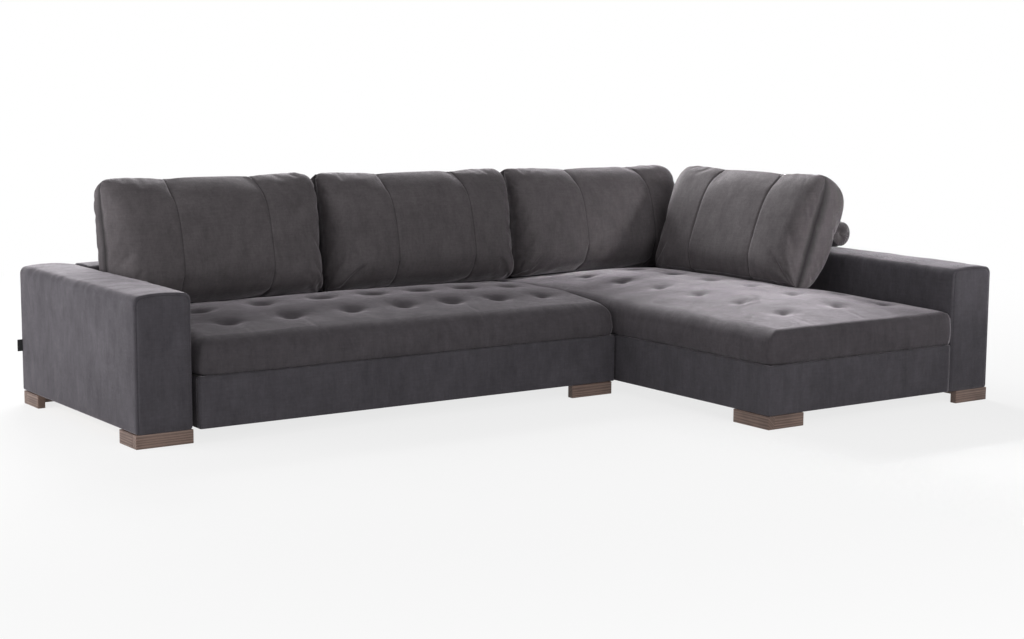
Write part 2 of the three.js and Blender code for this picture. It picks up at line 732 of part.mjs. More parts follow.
// Feet
placeFoot('left_arm_front_foot', left, armFront, armWidth, plankArm);
placeFoot('left_arm_rear_foot', left, rear - footInset, plankShort, -plankArm);
placeFoot('bench_front_foot', benchRight - footInset, benchFront, -plankLong, plankShort);
placeFoot('bench_rear_foot', benchRight - footInset, rear - footInset, -plankShort, -plankShort);
placeFoot('chaise_front_foot', chaiseLeft, front, plankShort, plankLong);
placeFoot('chaise_rear_foot', chaiseLeft + footInset, rear - footInset, plankShort, -plankShort);
placeFoot('right_arm_front_foot', right, front, -plankShort, plankLong);
placeFoot('right_arm_rear_foot', right, rear - footInset, -plankShort, -plankArm);

// Bolts that hold the arms to the bases, with spacers in the slit beside the left arm
const boltTip = railThickness - fit;
function boltArm(inward, y, pieces) {
  pieces.forEach((piece) => drillAlongX(piece, y, boltHeight));
  const armInner = inward > 0 ? leftArmInner : rightArmInner;
  const baseOuter = inward > 0 ? benchLeft : chaiseRight;
  const headSeat = armInner - inward * (padThickness + fit + railThickness + fit);
  return [headSeat, baseOuter + inward * boltTip];
}
const rearBoltY = benchFrame.innerRear - boltFromRailEnd;
const boltPlaces = [
  ['front', benchFrame.innerFront + boltFromRailEnd, chaiseFrame.innerFront + boltFromRailEnd],
  ['rear', rearBoltY, rearBoltY],
];
boltPlaces.forEach(([end, benchY, chaiseY]) => {
  const spacer = placeBoard(`arm_spacer_${end}`, plywood, leftArmInner + fit, benchLeft - fit,
    benchY - spacerWidth / 2, benchY + spacerWidth / 2, railBottom, railBottom + spacerHeight);
  const leftEnds = boltArm(1, benchY, [leftArmCover, leftArmFrame, spacer, benchLeftRail]);
  placeBolt(`left_arm_bolt_${end}`, ...leftEnds, benchY);
  const rightEnds = boltArm(-1, chaiseY, [rightArmCover, rightArmFrame, chaiseRightRail]);
  placeBolt(`right_arm_bolt_${end}`, ...rightEnds, chaiseY);
});

// Steel plates under the bases that hold the two halves together
function placeLinkPlate(name, y) {
  const outline = new THREE.Shape();
  outline.moveTo(-linkPlateLength / 2, -linkPlateWidth / 2);
  outline.lineTo(linkPlateLength / 2, -linkPlateWidth / 2);
  outline.lineTo(linkPlateLength / 2, linkPlateWidth / 2);
  outline.lineTo(-linkPlateLength / 2, linkPlateWidth / 2);
  for (const side of [-1, 1]) {
    const hole = new THREE.Path();
    hole.absarc(side * (linkPlateLength / 2 - linkHoleFromEnd), 0, linkHoleRadius, 0, 2 * Math.PI, true);
    outline.holes.push(hole);
  }
  const plate = new THREE.ExtrudeGeometry(outline, {
    depth: linkPlateThickness,
    bevelEnabled: false,
    curveSegments: linkHoleSteps,
  });
  return place(name, plate, steel, moduleSeam, y, underside - fit - linkPlateThickness);
}
placeLinkPlate('link_plate_front', armFront + linkPlateFromEnds);
placeLinkPlate('link_plate_rear', backFront - linkPlateFromEnds);

// Blank tab sewn to the left arm near its rear edge
placeBoard('blank_tab', liningCloth, left - fit - tabThickness, left - fit,
  rear - tabFromRear - tabWidth, rear - tabFromRear,
  armHeight - tabFromTop - tabHeight, armHeight - tabFromTop);

export default sofa;
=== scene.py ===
"""Corner sofa: velvet arms and backs, tufted seats, loose cushions, a bolster and plank feet."""
import math

import bmesh
import bpy
import numpy as np
from mathutils import Matrix, Vector


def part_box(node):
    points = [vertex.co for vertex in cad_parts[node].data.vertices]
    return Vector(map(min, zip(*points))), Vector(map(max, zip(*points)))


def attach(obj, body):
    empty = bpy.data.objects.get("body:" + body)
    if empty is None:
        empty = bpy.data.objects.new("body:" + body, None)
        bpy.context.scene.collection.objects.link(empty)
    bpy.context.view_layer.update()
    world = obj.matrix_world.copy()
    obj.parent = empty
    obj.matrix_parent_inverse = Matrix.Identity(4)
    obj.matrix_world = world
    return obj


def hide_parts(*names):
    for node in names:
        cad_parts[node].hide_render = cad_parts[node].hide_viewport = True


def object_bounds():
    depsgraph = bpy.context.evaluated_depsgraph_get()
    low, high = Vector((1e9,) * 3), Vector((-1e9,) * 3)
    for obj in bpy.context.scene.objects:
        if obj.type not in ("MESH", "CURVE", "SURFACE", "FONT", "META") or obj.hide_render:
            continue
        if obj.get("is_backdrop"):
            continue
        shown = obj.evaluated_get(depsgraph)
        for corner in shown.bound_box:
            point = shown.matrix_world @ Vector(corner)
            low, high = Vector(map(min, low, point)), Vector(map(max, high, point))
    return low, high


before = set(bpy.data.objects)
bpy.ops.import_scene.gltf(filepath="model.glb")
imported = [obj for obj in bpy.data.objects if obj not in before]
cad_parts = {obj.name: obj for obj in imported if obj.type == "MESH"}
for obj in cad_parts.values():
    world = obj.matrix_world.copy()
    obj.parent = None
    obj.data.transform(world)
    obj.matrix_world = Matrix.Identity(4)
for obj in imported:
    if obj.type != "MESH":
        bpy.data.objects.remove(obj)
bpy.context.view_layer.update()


# Arms and backs
# Low blocks of foam on a timber frame, under a sewn velvet cover. The long part is one piece of
# cloth wrapped round the block, and a panel is sewn into each end. A wooden board closes them below.

def grid_quads(rows, columns, wraps):
    """Faces of a grid of points, row by row; a wrapped grid joins its last column to its first."""
    row = np.arange(rows - 1)[:, None] * columns
    here = np.arange(columns if wraps else columns - 1)[None, :]
    after = (here + 1) % columns
    return np.stack([row + here, row + after, row + columns + after, row + columns + here],
                    axis=-1).reshape(-1, 4)


def slow_waves(points, wave, seed):
    """Unevenness of stretched cloth, from a wave's height and length: twice the mean of nine sine
    waves in directions that the seed picks, with wavelengths from 0.6 to 1.6 times the length."""
    height, length = wave
    random = np.random.default_rng(seed)
    ways = random.normal(size=(9, 3))
    ways /= np.linalg.norm(ways, axis=1)[:, None]
    pace = 2 * math.pi / (length * random.uniform(0.6, 1.6, 9))
    start = random.uniform(0, 2 * math.pi, 9)
    return height * 2 * np.sin((points @ ways.T) * pace + start).mean(axis=-1)


def make_piece(name, points, faces, material, stands_for, body="sofa", marks=None,
               grain=None):
    """Puts points and faces into a welded, closed mesh that faces outwards, hides the CAD nodes that it
    stands for and rides on a body. The marks are named values of the points, and the grain is their
    place on the wood."""
    mesh = bpy.data.meshes.new(name)
    mesh.from_pydata(points.tolist(), [], faces.tolist())
    for kind, values in (marks or {}).items():
        mesh.attributes.new(kind, "FLOAT", "POINT").data.foreach_set(
            "value", np.asarray(values, np.float32).ravel())
    if grain is not None:
        corners = np.zeros(len(mesh.loops), np.int32)
        mesh.loops.foreach_get("vertex_index", corners)
        layer = mesh.uv_layers.new(name="grain")
        layer.data.foreach_set("uv", grain[corners].astype(np.float32).ravel())
    shell = bmesh.new()
    shell.from_mesh(mesh)
    bmesh.ops.remove_doubles(shell, verts=shell.verts, dist=2e-5)
    bmesh.ops.recalc_face_normals(shell, faces=shell.faces)
    shell.to_mesh(mesh)
    shell.free()
    mesh.polygons.foreach_set("use_smooth", [True] * len(mesh.polygons))
    mesh.materials.append(material)
    piece = bpy.data.objects.new(name, mesh)
    bpy.context.scene.collection.objects.link(piece)
    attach(piece, body)
    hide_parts(*stands_for)
    return piece


class Finish:
    """The node tree of a material or a world. A method adds a node and gives what comes out of it."""

    def __init__(self, holder, shader="Principled BSDF"):
        holder.use_nodes = True
        self.holder = holder
        self.tree = holder.node_tree
        self.shader = self.tree.nodes[shader]

    def put(self, node, inputs):
        """Links or sets a node's inputs, which are given by name or number."""
        for key, value in inputs.items():
            if isinstance(value, bpy.types.NodeSocket):
                self.tree.links.new(value, node.inputs[key])
            else:
                node.inputs[key].default_value = value

    def done(self, inputs):
        """Sets the shader's own inputs, and gives the material."""
        self.put(self.shader, inputs)
        return self.holder

    def add(self, kind, inputs, out=0, **settings):
        """Any node, by its kind."""
        node = self.tree.nodes.new("ShaderNode" + kind)
        for key, value in settings.items():
            setattr(node, key, value)
        self.put(node, inputs)
        return node.outputs[out]

    def place(self):
        """Place on the object, in metres."""
        return self.add("TexCoord", {}, "Object")

    def drawn(self, place, scale, turn=(0, 0, 0)):
        """A place turned and scaled. A pattern is drawn out along the axis whose scale is small."""
        return self.add("Mapping", {"Vector": place, "Scale": scale, "Rotation": turn})

    def noise(self, place, scale, detail, **more):
        """Soft noise, with so many features to the metre."""
        return self.add("TexNoise", {"Vector": place, "Scale": scale, "Detail": detail, **more})

    def wave(self, place, scale, way, **more):
        """Even bands across a direction, bent where a distortion is given."""
        return self.add("TexWave", {"Vector": place, "Scale": scale, **more}, "Fac",
                        bands_direction=way)

    def fitted(self, value, low, high, to_low, to_high):
        """A value taken from one range to another, and held inside that one."""
        return self.add("MapRange", {"Value": value, "From Min": low, "From Max": high,
                                     "To Min": to_low, "To Max": to_high})

    def total(self, first, second):
        """Sum of two values."""
        return self.add("Math", {0: first, 1: second}, operation="ADD")

    def product(self, first, *others):
        """Product of two values or more."""
        for other in others:
            first = self.add("Math", {0: first, 1: other}, operation="MULTIPLY")
        return first

    def shaded(self, colour, share):
        """A colour made lighter or darker by a share."""
        return self.add("VectorMath", {0: tuple(colour), "Scale": share}, operation="SCALE")

    def mixed(self, share, first, second):
        """A colour between two."""
        return self.add("Mix", {"Factor": share, 6: first, 7: second}, 2, data_type="RGBA")

    def bump(self, height, strength, depth, **more):
        """A relief of the surface from a height."""
        return self.add("Bump", {"Height": height, "Strength": strength, "Distance": depth, **more})


def velvet(name, colour, sheen, nap_lean):
    """Short-pile velvet. Slow clouds and leaning streaks are pile brushed one way or the other, a
    middling noise is pile crushed in use, crossed fine streaks are the threads below, and a fine grain
    is the pile itself. The seam attribute is painted shade: it darkens the colour and weakens the sheen
    in the grooves of seams and channels, where shade falls."""
    cloth = Finish(bpy.data.materials.new(name))
    place = cloth.place()
    clouds = cloth.noise(place, 5.5, 4.0, Roughness=0.55, Distortion=0.7)
    streaks = cloth.noise(cloth.drawn(place, (30.0, 30.0, 9.0), (0.3, nap_lean, 0.2)), 1.0, 5.0,
                          Roughness=0.6)
    crush = cloth.noise(place, 85.0, 3.0)
    weft = cloth.noise(cloth.drawn(place, (16.0, 16.0, 210.0)), 1.0, 3.0)
    warp = cloth.noise(cloth.drawn(place, (210.0, 210.0, 16.0)), 1.0, 3.0)
    pile = cloth.noise(place, 620.0, 2.0)
    threads = cloth.add("TexVoronoi", {"Vector": place, "Scale": 900.0})
    # Painted shade: the seam attribute darkens the colour and weakens the sheen in the grooves of seams
    # and channels.
    sewn = cloth.add("Attribute", {}, "Fac", attribute_name="seam")
    brushed = cloth.total(clouds, streaks)
    grain = cloth.total(pile, threads)
    tone = cloth.product(
        cloth.fitted(brushed, 0.72, 1.28, 0.87, 1.14), cloth.fitted(grain, 0.5, 1.3, 0.90, 1.10),
        cloth.fitted(crush, 0.3, 0.7, 0.94, 1.06),
        cloth.fitted(cloth.total(weft, warp), 0.75, 1.25, 0.93, 1.07),
        cloth.fitted(sewn, 0.0, 1.0, 1.0, 0.25))
    return cloth.done({
        "Base Color": cloth.shaded(colour, tone), "Specular IOR Level": 0.25,
        "Roughness": cloth.fitted(brushed, 0.7, 1.3, 0.94, 0.80),
        "Sheen Weight": cloth.product(tone, sheen), "Sheen Roughness": 0.32,
        "Sheen Tint": (0.80, 0.74, 0.80, 1.0),
        "Normal": cloth.bump(brushed, 0.25, 0.003, Normal=cloth.bump(grain, 0.45, 0.0006))})


def block_profile(width, height, top_radius, base_radius, step):
    """Outline of a padded block, anticlockwise from its lower right corner: quarter circles at the
    four corners and straight runs between them. Gives points and outward directions, both (n, 2)."""
    half = width / 2
    corners = [(half - base_radius, base_radius, base_radius, -90),
               (half - top_radius, height - top_radius, top_radius, 0),
               (top_radius - half, height - top_radius, top_radius, 90),
               (base_radius - half, base_radius, base_radius, 180)]
    points, ways = [], []
    for index, (x, z, radius, start) in enumerate(corners):
        turn = np.radians(start + np.linspace(0, 90, 9))
        way = np.stack([np.cos(turn), np.sin(turn)], axis=-1)
        arc = way * radius + (x, z)
        after = corners[(index + 1) % 4]
        goal = np.array(after[:2]) + after[2] * way[-1]
        count = max(2, round(np.linalg.norm(goal - arc[-1]) / step))
        share = np.arange(1, count)[:, None] / count
        points += [arc, arc[-1] + share * (goal - arc[-1])]
        ways += [way, np.repeat(way[-1:], count - 1, axis=0)]
    return np.concatenate(points), np.concatenate(ways)


def eased(value):
    """Smooth step from 0 to 1."""
    share = np.clip(value, 0, 1)
    return share * share * (3 - 2 * share)


def stood(points, low, high, height, turned=False):
    """A block made round the origin, stood in the middle of a box; turned, it runs along X."""
    if turned:
        points = points[:, [1, 0, 2]] * (1, -1, 1)
    return points + ((low.x + high.x) / 2, (low.y + high.y) / 2, height)


seam_groove, panel_stand = 0.0024, 0.0010
seam_insets = np.array([0.0016, 0.0032, 0.0090])
seam_over_base, calm_over_base, calm_from_end = 0.03, 0.09, 0.07
long_wave, short_wave, pucker_wave = (0.0020, 0.30), (0.0007, 0.09), (0.0012, 0.055)
pucker_reach = 0.03


def sewn_block(width, length, height, top_radius, base_radius, end_radius, crown, puff, seed,
               step=0.014):
    """A block profile carried along Y, with a panel sewn into each end. Near an end the outline is
    scaled down along a quarter circle of the end radius; the seam is a groove behind it, and past
    it the outline shrinks to its middle. The top rises by the crown times one minus the square of
    the share across. The cloth stands proud by the puff and is uneven by slow waves."""
    outline, outward = block_profile(width, height - crown, top_radius, base_radius, step)
    swing = np.radians(np.linspace(0, 90, 7))
    back = np.concatenate([end_radius * (1 - np.sin(swing)), [seam_groove, 0, -panel_stand]])
    inset = np.concatenate([end_radius * (1 - np.cos(swing)), end_radius + seam_insets])
    seam_at = inset[len(swing)]
    panel_inset = inset[-1]
    ring_count = max(5, round((width / 2 - panel_inset) / step))
    rings = np.linspace(1, 0, ring_count + 1)[1:]
    middle_count = max(2, round((length - 2 * end_radius) / step))
    middle = np.linspace(end_radius - length / 2, length / 2 - end_radius, middle_count + 1)[1:-1]
    back = np.concatenate([back, np.full(ring_count, back[-1])])
    inset = np.concatenate([inset, np.full(ring_count, panel_inset)])
    shrink = np.concatenate([np.ones(len(inset) - ring_count), rings])
    along = np.concatenate([(back - length / 2)[::-1], middle, length / 2 - back])
    inset = np.concatenate([inset[::-1], np.zeros(len(middle)), inset])[:, None]
    shrink = np.concatenate([shrink[::-1], np.ones(len(middle)), shrink])[:, None]
    x = outline[None, :, 0] * (1 - 2 * inset / width) * shrink
    z = outline[None, :, 1] * (1 - inset / height)
    z = height / 2 + (z - height / 2) * shrink
    rise = crown * (1 - (2 * x / width) ** 2) * eased(2 * z / height - 1)
    along = along[:, None] + 0 * x
    points = np.stack([x, along, z + rise], axis=-1)
    on_end = (inset >= seam_at) + 0 * x
    way = np.stack([(1 - on_end) * outward[:, 0], on_end * np.sign(along),
                    (1 - on_end) * outward[:, 1]], axis=-1)
    off_base = eased(z / calm_over_base)
    edge_share = np.clip(1 - np.maximum(np.abs(2 * x / width), np.abs(2 * z / height - 1)), 0, 1)
    end_calm = eased(edge_share * 5) * off_base
    side_calm = eased((length / 2 - np.abs(along)) / calm_from_end) * off_base
    calm = on_end * end_calm + (1 - on_end) * side_calm
    uneven = slow_waves(points, long_wave, seed) + slow_waves(points, short_wave, seed + 1)
    off_edge = np.hypot(np.abs(x) - width / 2, z - height)
    near_edge = np.exp(-(off_edge / pucker_reach) ** 2) * (1 - on_end)
    pucker = near_edge * slow_waves(points * (0.2, 1.0, 0.2), pucker_wave, seed + 2)
    points += way * (calm * (puff + uneven + pucker))[..., None]
    # Painted shade: the seam line above the foot is marked so that its groove is darkened in colour and
    # sheen.
    seam = np.isclose(inset, seam_at) & (z > seam_over_base)
    return points.reshape(-1, 3), grid_quads(*x.shape, wraps=True), seam.ravel().astype(float)


body_velvet = velvet("body_velvet", colour=(0.066, 0.061, 0.070), sheen=0.55, nap_lean=0.35)
block_bottom = 0.0558
cover_edge = 0.025
cover_ease = (0.002, 0.001, 0.002)
# How strongly the seams of arms and backs are darkened with painted shade.
seam_shade = 0.4


def upholstered_block(name, seed):
    """The cover of one arm or back, in the place of its CAD cover and along its longer side."""
    low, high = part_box(name + "_cover")
    size = high - low
    width, length = sorted(size.xy)
    points, faces, seam = sewn_block(
        width - cover_ease[0], length - cover_ease[1], high.z + cover_ease[2] - block_bottom,
        top_radius=cover_edge, base_radius=0.010, end_radius=0.009, crown=0.010, puff=0.003, seed=seed)
    points = stood(points, low, high, block_bottom, turned=size.x > size.y)
    cover = make_piece(name, points, faces, body_velvet, [name + "_cover"],
                       marks={"seam": seam_shade * seam})


for name, seed in (("left_arm", 11), ("right_arm", 23), ("bench_back", 37), ("chaise_back", 41)):
    upholstered_block(name, seed)


# Panels under the seats
# Boards wrapped in the same velvet, which is stapled behind. The bench has one across its front,
# round its front rail as well, and the chaise has one that goes round its corner.

panel_rise, panel_edge = 0.0054, 0.008
panel_bulge, panel_wave = 0.0012, (0.0014, 0.26)
low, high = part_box("bench_plinth")
high.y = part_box("bench_front_rail")[1].y
points, faces, _ = sewn_block(high.y - low.y, high.x - low.x, high.z + panel_rise - low.z,
                              top_radius=panel_edge, base_radius=panel_edge, end_radius=0.006,
                              crown=0.0, puff=0.0015, seed=53, step=0.013)
make_piece("bench_panel", stood(points, low, high, low.z, turned=True), faces, body_velvet,
           ["bench_plinth", "bench_front_rail"])


def end_closed(points):
    """Closes both ends of a tube of rings at their middles."""
    middles = points.mean(axis=1, keepdims=True) + 0 * points
    return np.concatenate([middles[:1], points, middles[-1:]])


def corner_panel(thickness, height, radius, front_leg, side_leg, corner, seed, step=0.013):
    """A block profile carried round a corner. Its outer side follows the first leg, a quarter
    circle and the second leg. Its inner side follows the same legs to one sharp inner corner."""
    outline, outward = block_profile(thickness, height, panel_edge, panel_edge, step)
    turn = np.radians(np.linspace(-90, -180, 9))
    first = np.linspace(front_leg, radius, round((front_leg - radius) / step))
    second = np.linspace(radius, side_leg, round((side_leg - radius) / step))
    outer = np.concatenate([
        np.stack([first, 0 * first], -1),
        radius + radius * np.stack([np.cos(turn), np.sin(turn)], -1)[1:-1],
        np.stack([0 * second, second], -1)])
    inner = np.maximum(outer, thickness)
    inner[0, 0], inner[-1, 1] = outer[0, 0], outer[-1, 1]
    depth = (outline[:, 0] / thickness + 0.5)[None, :, None]
    flat = outer[:, None] * (1 - depth) + inner[:, None] * depth
    z = outline[:, 1] + 0 * flat[..., 0]
    points = end_closed(np.concatenate([flat, z[..., None]], axis=-1)) + (*corner, 0.0)
    face_out = -np.sign(outward[:, 0])[None] * (outward[:, 0] < -0.5)[None]
    calm = np.clip(4 * outline[:, 1] / height * (1 - outline[:, 1] / height), 0, 1)[None]
    bulge = face_out * calm * (panel_bulge + slow_waves(points, panel_wave, seed))
    on_front = (points[..., 1] < corner[1] + thickness)[..., None]
    points -= bulge[..., None] * np.where(on_front, (0.0, 1.0, 0.0), (1.0, 0.0, 0.0))
    return points.reshape(-1, 3), grid_quads(*points.shape[:2], wraps=True)


front_low, front_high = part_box("chaise_front_plinth")
side_low, side_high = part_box("chaise_side_plinth")
points, faces = corner_panel(
    front_high.y - front_low.y, front_high.z + panel_rise - front_low.z, radius=0.007,
    front_leg=front_high.x - side_low.x, side_leg=side_high.y - side_low.y,
    corner=(side_low.x, front_low.y), seed=59)
points[:, 2] += front_low.z
make_piece("chaise_panel", points, faces, body_velvet, ["chaise_front_plinth", "chaise_side_plinth"])

# The rail that shows in the slit beside the left arm is wrapped in the velvet too.
low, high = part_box("bench_left_rail")
points, faces, _ = sewn_block(high.x - low.x, high.y - low.y, high.z + cover_ease[2] - low.z,
                              top_radius=0.005, base_radius=0.005, end_radius=0.004, crown=0.0,
                              puff=0.0005, seed=57, step=0.016)
make_piece("bench_wrapped_rail", stood(points, low, high, low.z), faces, body_velvet,
           ["bench_left_rail"])


# Seats
# Each is one long foam block on webbing, in a velvet cover that is pulled down in rows of tufts. Its
# edges roll over to a seam, and the chaise's right side is pressed flat against the arm.

def mirrored_lines(outer, count):
    """Grid lines on both sides of nought: the outer ones as given, and a count of even steps between."""
    return np.concatenate([-outer[::-1], np.linspace(-outer[0], outer[0], count + 1)[1:-1], outer])


def round_plan(x, y, half_x, half_y, corner):
    """Moves a rectangle's points so that its corners are round: past the corner's centre a point's
    offset keeps its larger part as its length. Gives the points and the way out of the corner."""
    over_x = np.sign(x) * np.maximum(np.abs(x) - (half_x - corner), 0)
    over_y = np.sign(y) * np.maximum(np.abs(y) - (half_y - corner), 0)
    far = np.maximum(np.hypot(over_x, over_y), 1e-9)
    keep = np.maximum(np.abs(over_x), np.abs(over_y)) / far
    return (x - over_x + over_x * keep, y - over_y + over_y * keep,
            np.stack([over_x / far, over_y / far], axis=-1))


seat_bulge, seam_tuck, fall_start = 0.005, 0.007, math.radians(15)
side_wave, gather_wave, calm_over_seam = (0.0018, 0.25), (0.0016, 0.09), 0.012


def tufted_seat(half_x, half_y, top_at, rolls, falls, corner, squareness, seed, step=0.0095):
    """A grid on top, then rings down the side. The top's height is a function of the place. From its
    border the cloth goes down an ellipse that starts with the top's slope, with one pair of half
    axes at the ends and one in front. In a corner the way out is longer by a power of its slant, so
    that the corner is nearly square. Below, the side bulges by a sine and turns in at the seam.
    Rings then close the flat underside."""
    inner_x, inner_y = half_x - rolls[0], half_y - rolls[1]
    grid_x, grid_y = np.meshgrid(*(
        mirrored_lines(np.linspace(inner - corner, inner, 6), round(2 * (inner - corner) / step))
        for inner in (inner_x, inner_y)))
    x, y, way = round_plan(grid_x, grid_y, inner_x, inner_y, corner)
    top = np.stack([x, y, top_at(x, y)], axis=-1)
    index = np.arange(x.size).reshape(x.shape)
    border = np.concatenate([index[0], index[1:, -1], index[-1, -2::-1], index[-2:0:-1, 0]])
    rim, out = top.reshape(-1, 3)[border], way.reshape(-1, 2)[border]
    longer = np.max(np.abs(out), axis=-1, keepdims=True) ** -squareness
    reach = out * longer * rolls
    fall = out[:, 0] ** 2 * falls[0] + out[:, 1] ** 2 * falls[1]
    swing = np.linspace(fall_start, math.pi / 2, 13)[1:, None]
    down = np.linspace(0, 1, 12)[1:, None]
    low_z = rim[:, 2] - fall
    rows = np.concatenate([rim[:, 2] - fall * (1 - np.cos(swing) / math.cos(fall_start)),
                           low_z * (1 - down)])
    first = math.sin(fall_start)
    spread = np.concatenate([(np.sin(swing) - first) / (1 - first), 0 * down + 1])
    extra = np.concatenate([0 * swing, seat_bulge * np.sin(math.pi * down) - seam_tuck * down ** 9])
    flat = rim[None, :, :2] + spread[..., None] * reach[None] + extra[..., None] * out[None]
    rings = np.concatenate([flat, rows[..., None]], axis=-1)
    drop = np.clip(1 - rows / low_z[None], 0, 1)
    gathers = slow_waves(rings * (1.0, 1.0, 0.1), gather_wave, seed)
    lift = slow_waves(rings, side_wave, seed + 1) + gathers * drop ** 2
    lift *= np.clip(rows / calm_over_seam, 0, 1)
    rings[..., :2] += lift[..., None] * out[None]
    under = rings[-1:] * (1, 1, 0)
    shrink = np.linspace(0.985, 0, 7)[:, None, None]
    points = np.concatenate([rings, under * shrink])
    wall = grid_quads(len(points) + 1, len(border), wraps=True)
    points = np.concatenate([top.reshape(-1, 3), points.reshape(-1, 3)])
    renumber = np.concatenate([border, np.arange(x.size, len(points))])
    faces = np.concatenate([grid_quads(*x.shape, wraps=False), renumber[wall]])
    # Painted shadow: the ring at the seam over the panel is marked so that the line where the seat meets
    # the panel is darkened.
    seam = np.zeros(len(points))
    ring_start = x.size + (len(rows) - 1) * len(border)
    seam[ring_start:ring_start + len(border)] = 1.0
    return points, faces, seam


tuft_bells = ((0.007, 0.085), (0.019, 0.036), (0.007, 0.012))
tuft_length_share = 1.25


def tuft_depth(x, y, tufts):
    """How far tufts pull the top down: a broad bell, one of a hand's width and a small pit, each a
    little longer along X."""
    total = np.zeros_like(x)
    for tuft_x, tuft_y, pull in tufts:
        far = ((x - tuft_x) / tuft_length_share) ** 2 + (y - tuft_y) ** 2
        total += pull * sum(depth * np.exp(-far / reach ** 2) for depth, reach in tuft_bells)
    return total


pleat_pull, pleat_width, pleat_aside, pleat_from_edge = 0.0018, 0.008, 0.02, 0.03
bench_pleat_end, chaise_pleat_end = 0.20, 0.15


def pleat_depth(x, from_front, pleats, end):
    """Short creases from the front tufts to the edge: a narrow bell across, fading at both ends."""
    share = (from_front - pleat_from_edge) / (end - pleat_from_edge)
    fade = np.clip(4 * share * (1 - share), 0, 1)
    return pleat_pull * fade * sum(np.exp(-((x - pleat) / pleat_width) ** 2) for pleat in pleats)


bench_low, bench_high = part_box("bench_seat")
seat_bottom = bench_low.z
bench_middle = (bench_low + bench_high) / 2
bench_half_x = (bench_high.x - bench_low.x) / 2
bench_half_y = (bench_high.y - bench_low.y) / 2
bench_columns = [(share - 0.5) * 2 * bench_half_x for share in
                 (0.122, 0.263, 0.407, 0.532, 0.653, 0.77, 0.889)]
full_pull, worn_pull, worn_from = 1.0, 0.6, 0.6
bench_tufts = [(column, row - bench_half_y, full_pull if column < worn_from else worn_pull)
               for row in (0.247, 0.507, 0.767) for column in bench_columns]
bench_pleats = [bench_columns[place] + pleat_aside for place in (0, 1, 4)]
bench_edge, bench_crown = 0.140, 0.060
seat_wave, crown_margin = (0.0022, 0.22), 0.045


def bench_top(x, y):
    """Height of the bench seat over its seam: an edge of 140 mm, and a crown that falls off with
    the square of the depth and, by half, with the power 2.5 of the width, less tufts and pleats."""
    s, t = np.abs(x) / (bench_half_x - crown_margin), np.abs(y) / (bench_half_y - crown_margin)
    crown = bench_crown * (0.5 + 0.5 * (1 - s ** 2.5)) * (1 - t ** 2)
    uneven = slow_waves(np.stack([x, y, 0 * x], -1), seat_wave, 71)
    pulled = tuft_depth(x, y, bench_tufts)
    pulled += pleat_depth(x, y + bench_half_y, bench_pleats, bench_pleat_end)
    return bench_edge + crown + uneven - pulled


chaise_low, chaise_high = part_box("chaise_seat")
chaise_middle = (chaise_low + chaise_high) / 2
chaise_half_y = (chaise_high.y - chaise_low.y) / 2
arm_press = 0.035
chaise_half_x = (chaise_high.x + arm_press - chaise_low.x) / 2
chaise_middle.x += arm_press / 2
chaise_columns = [(share - 0.5) * (chaise_high.x - chaise_low.x) - arm_press / 2
                  for share in (0.27, 0.56, 0.83)]
first_row, row_pitch, soft_pull = 0.231, 0.271, 0.55
chaise_tufts = [(column, first_row + row_pitch * row - chaise_half_y, soft_pull)
                for row in range(7) for column in chaise_columns]
chaise_pleats = [column - pleat_aside for column in chaise_columns[:2]]
chaise_edge, chaise_crown, chaise_end_margin = 0.142, 0.066, 0.025


def chaise_top(x, y):
    """Height of the chaise seat over its seam: an edge of 142 mm, and a crown that falls off with
    the square of the width and with the fourth power of the length, less tufts and pleats."""
    s, t = np.abs(x) / (chaise_half_x - crown_margin), np.abs(y) / (chaise_half_y - chaise_end_margin)
    crown = chaise_crown * (0.1 + 0.9 * (1 - s ** 2)) * (1 - t ** 4)
    uneven = slow_waves(np.stack([x, y, 0 * x], -1), seat_wave, 83)
    pulled = tuft_depth(x, y, chaise_tufts)
    pulled += pleat_depth(x, y + chaise_half_y, chaise_pleats, chaise_pleat_end)
    return chaise_edge + crown + uneven - pulled


seat_velvet = velvet("seat_velvet", colour=(0.066, 0.059, 0.065), sheen=0.55, nap_lean=-0.5)
points, faces, seam = tufted_seat(bench_half_x, bench_half_y, bench_top, rolls=(0.060, 0.075),
                                  falls=(0.055, 0.085), corner=0.020, squareness=0.75, seed=73)
points += (bench_middle.x, bench_middle.y, seat_bottom)
bench = make_piece("bench_seat_pad", points, faces, seat_velvet, ["bench_seat"], marks={"seam": seam})
points, faces, seam = tufted_seat(chaise_half_x, chaise_half_y, chaise_top, rolls=(0.060, 0.034),
                                  falls=(0.060, 0.034), corner=0.016, squareness=0.80, seed=89)
points += (chaise_middle.x, chaise_middle.y, seat_bottom)
points[:, 0] = np.minimum(points[:, 0], chaise_high.x)
# The chaise's velvet is a copy of the seat velvet, painted darker as shade for the chaise's front, with
# a stronger sheen for its top.
chaise_shaded_velvet = velvet("chaise_shaded_velvet", colour=(0.060, 0.053, 0.059), sheen=0.9, nap_lean=-0.5)
chaise = make_piece("chaise_seat_pad", points, faces, chaise_shaded_velvet, ["chaise_seat"],
                    marks={"seam": seam})


# Loose back cushions
# Filled covers of two panels, sewn together round the edge, with two channels sewn down the front
# panel. Three lean on the back and one on the right arm. They are inflated by a cloth simulation.

